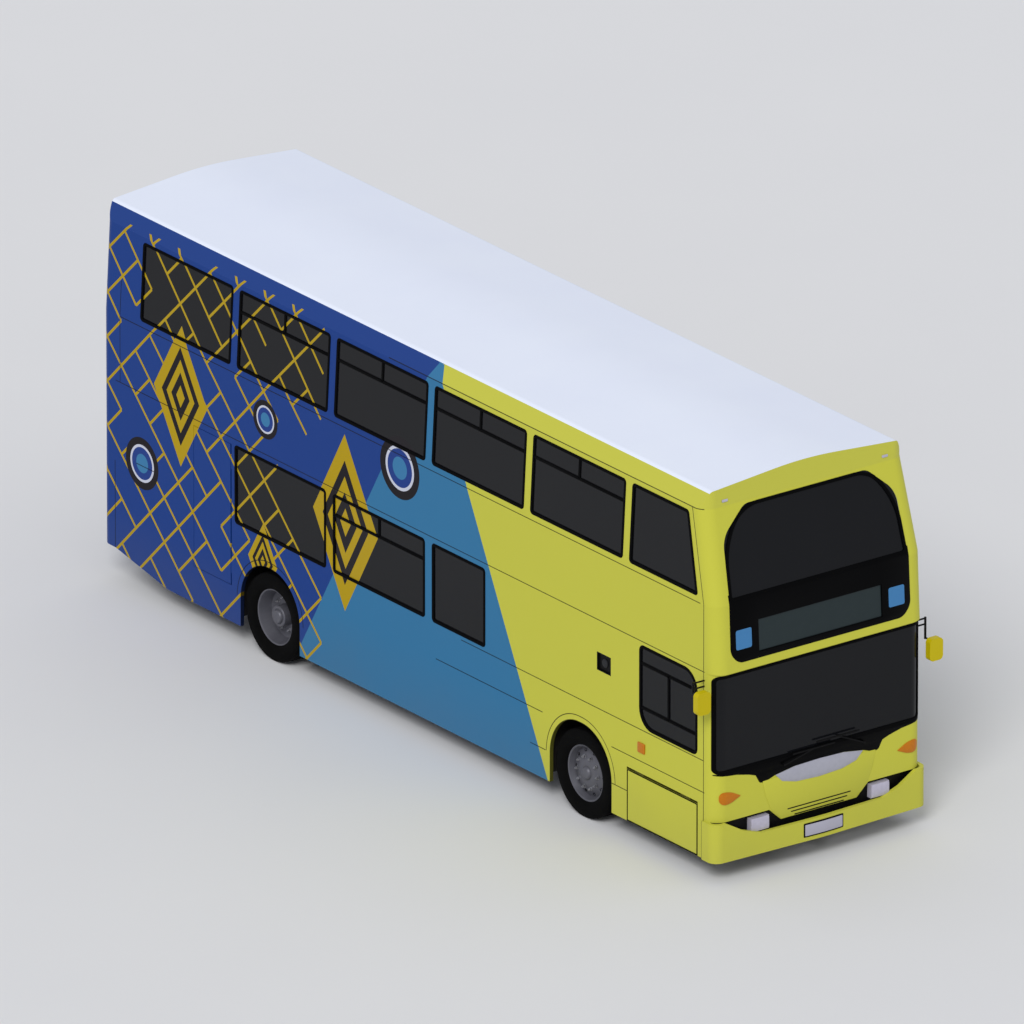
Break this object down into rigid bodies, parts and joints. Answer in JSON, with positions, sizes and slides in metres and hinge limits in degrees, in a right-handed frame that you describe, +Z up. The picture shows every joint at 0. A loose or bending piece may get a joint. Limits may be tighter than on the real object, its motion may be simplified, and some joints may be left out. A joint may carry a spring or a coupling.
{
  "type": "double decker bus",
  "caption": "Full-size double decker bus with hollow two-deck body, glazed sides, steered front wheels, twin rear wheels and folding entrance doors",
  "frame": {"origin": "on the ground under the middle of the bus, at the bottom centre of its bounding box", "axes": "+X forward, +Y to the nearside (left when facing forward), +Z up"},
  "size_m": [10.0584, 2.98, 4.051],
  "materials": {
    "lower_side_offside": "gloss",
    "lower_side_nearside": "gloss",
    "upper_side_offside": "gloss",
    "upper_side_nearside": "gloss",
    "entrance_frame": "gloss",
    "front_upper_moulding": "gloss",
    "front_lower_moulding": "gloss",
    "front_bumper": "gloss",
    "rear_upper_panel": "gloss",
    "rear_lower_panel": "gloss",
    "engine_door": "gloss",
    "emergency_door": "gloss",
    "locker_flap": "gloss",
    "roof_panel": "gloss",
    "intake_panel": "matte",
    "wipers": "matte",
    "mirror_offside": "gloss",
    "mirror_nearside": "gloss",
    "headlamps": "clear",
    "front_indicators": "clear",
    "rear_lamps": "clear",
    "destination_box": "matte",
    "lower_floor": "matte",
    "upper_floor": "matte",
    "wheel_boxes": "satin",
    "staircase": "satin",
    "lower_seats": "woven",
    "upper_seats": "woven",
    "driver_seat": "woven",
    "driver_cab": "matte",
    "steering_wheel": "matte",
    "grab_poles": "gloss",
    "engine_block": "cast",
    "chassis_frame": "satin",
    "front_axle_beam": "satin",
    "rear_axle": "satin",
    "windscreen_lower": "tinted",
    "windscreen_upper": "tinted",
    "destination_screen": "tinted",
    "glazing_lower": "tinted",
    "glazing_upper": "tinted",
    "door_glass_rear": "tinted",
    "door_glass_front": "tinted",
    "knuckle_left": "satin",
    "front_rim_left": "satin",
    "rear_rim_left": "satin",
    "front_tyre_left": "matte",
    "rear_tyres_left": "matte",
    "knuckle_right": "satin",
    "front_rim_right": "satin",
    "rear_rim_right": "satin",
    "front_tyre_right": "matte",
    "rear_tyres_right": "matte",
    "door_leaf_rear": "gloss",
    "door_arm_rear": "satin",
    "door_leaf_front": "gloss",
    "door_arm_front": "satin"
  },
  "bodies": {
    "bus_body": {"chassis_frame": "chassis_frame", "lower_floor": "lower_floor", "wheel_boxes": "wheel_boxes", "upper_floor": "upper_floor", "roof_panel": "roof_panel", "lower_side_offside": "lower_side_offside", "lower_side_nearside": "lower_side_nearside", "entrance_frame": "entrance_frame", "upper_side_offside": "upper_side_offside", "upper_side_nearside": "upper_side_nearside", "front_upper_moulding": "front_upper_moulding", "front_lower_moulding": "front_lower_moulding", "front_bumper": "front_bumper", "intake_panel": "intake_panel", "rear_upper_panel": "rear_upper_panel", "rear_lower_panel": "rear_lower_panel", "windscreen_lower": "windscreen_lower", "windscreen_upper": "windscreen_upper", "destination_screen": "destination_screen", "destination_box": "destination_box", "glazing_lower": "glazing_lower", "glazing_upper": "glazing_upper", "headlamps": "headlamps", "front_indicators": "front_indicators", "rear_lamps": "rear_lamps", "wipers": "wipers", "mirror_offside": "mirror_offside", "mirror_nearside": "mirror_nearside", "lower_seats": "lower_seats", "upper_seats": "upper_seats", "staircase": "staircase", "driver_cab": "driver_cab", "driver_seat": "driver_seat", "steering_wheel": "steering_wheel", "grab_poles": "grab_poles", "engine_block": "engine_block", "front_axle_beam": "front_axle_beam", "rear_axle": "rear_axle"},
    "knuckle_left": {"knuckle_left": "knuckle_left"},
    "knuckle_right": {"knuckle_right": "knuckle_right"},
    "front_wheel_left": {"front_rim_left": "front_rim_left", "front_tyre_left": "front_tyre_left"},
    "front_wheel_right": {"front_rim_right": "front_rim_right", "front_tyre_right": "front_tyre_right"},
    "rear_wheels_left": {"rear_rim_left": "rear_rim_left", "rear_tyres_left": "rear_tyres_left"},
    "rear_wheels_right": {"rear_rim_right": "rear_rim_right", "rear_tyres_right": "rear_tyres_right"},
    "door_arm_rear": {"door_arm_rear": "door_arm_rear"},
    "door_arm_front": {"door_arm_front": "door_arm_front"},
    "door_leaf_rear": {"door_leaf_rear": "door_leaf_rear", "door_glass_rear": "door_glass_rear"},
    "door_leaf_front": {"door_leaf_front": "door_leaf_front", "door_glass_front": "door_glass_front"},
    "engine_door": {"engine_door": "engine_door"},
    "locker_flap": {"locker_flap": "locker_flap"},
    "emergency_door": {"emergency_door": "emergency_door"}
  },
  "joints": [
    {"name": "steering", "type": "hinge", "parent": "bus_body", "child": "knuckle_left", "pos_m": [2.81, 0.9825, 0.456], "axis": [0, 0, 1], "range_deg": [-40, 40]},
    {"name": "steering_right", "type": "hinge", "parent": "bus_body", "child": "knuckle_right", "pos_m": [2.81, -0.9825, 0.456], "axis": [0, 0, 1], "range_deg": [-40, 40]},
    {"name": "front_wheel_left", "type": "hinge", "parent": "knuckle_left", "child": "front_wheel_left", "pos_m": [2.81, 1.1125, 0.456], "axis": [0, 1, 0], "continuous": true},
    {"name": "front_wheel_right", "type": "hinge", "parent": "knuckle_right", "child": "front_wheel_right", "pos_m": [2.81, -1.1125, 0.456], "axis": [0, 1, 0], "continuous": true},
    {"name": "rear_wheels_left", "type": "hinge", "parent": "bus_body", "child": "rear_wheels_left", "pos_m": [-2.25, 1.1125, 0.456], "axis": [0, 1, 0], "continuous": true},
    {"name": "rear_wheels_right", "type": "hinge", "parent": "bus_body", "child": "rear_wheels_right", "pos_m": [-2.25, -1.1125, 0.456], "axis": [0, 1, 0], "continuous": true},
    {"name": "entrance_doors", "type": "hinge", "parent": "bus_body", "child": "door_arm_rear", "pos_m": [3.44, 1.19, 1.2], "axis": [0, 0, -1], "range_deg": [0, 80]},
    {"name": "door_leaf_rear_fold", "type": "hinge", "parent": "door_arm_rear", "child": "door_leaf_rear", "pos_m": [3.7285, 1.19, 1.2], "axis": [0, 0, 1], "range_deg": [0, 160]},
    {"name": "door_arm_front_turn", "type": "hinge", "parent": "bus_body", "child": "door_arm_front", "pos_m": [4.61, 1.19, 1.2], "axis": [0, 0, 1], "range_deg": [0, 80]},
    {"name": "door_leaf_front_fold", "type": "hinge", "parent": "door_arm_front", "child": "door_leaf_front", "pos_m": [4.3215, 1.19, 1.2], "axis": [0, 0, -1], "range_deg": [0, 160]},
    {"name": "engine_door_lift", "type": "hinge", "parent": "bus_body", "child": "engine_door", "pos_m": [-5.023, 0, 1.241], "axis": [0, 1, 0], "range_deg": [0, 80]},
    {"name": "locker_flap_lift", "type": "hinge", "parent": "bus_body", "child": "locker_flap", "pos_m": [4.12, -1.268, 0.774], "axis": [-1, 0, 0], "range_deg": [0, 80]},
    {"name": "emergency_door_swing", "type": "hinge", "parent": "bus_body", "child": "emergency_door", "pos_m": [-2.889, -1.268, 1.35], "axis": [0, 0, 1], "range_deg": [0, 100]}
  ],
  "couplings": [
    {"joint": "steering_right", "follows": "steering", "ratio": 1},
    {"joint": "door_leaf_rear_fold", "follows": "entrance_doors", "ratio": 2},
    {"joint": "door_arm_front_turn", "follows": "entrance_doors", "ratio": 1},
    {"joint": "door_leaf_front_fold", "follows": "entrance_doors", "ratio": 2}
  ]
}
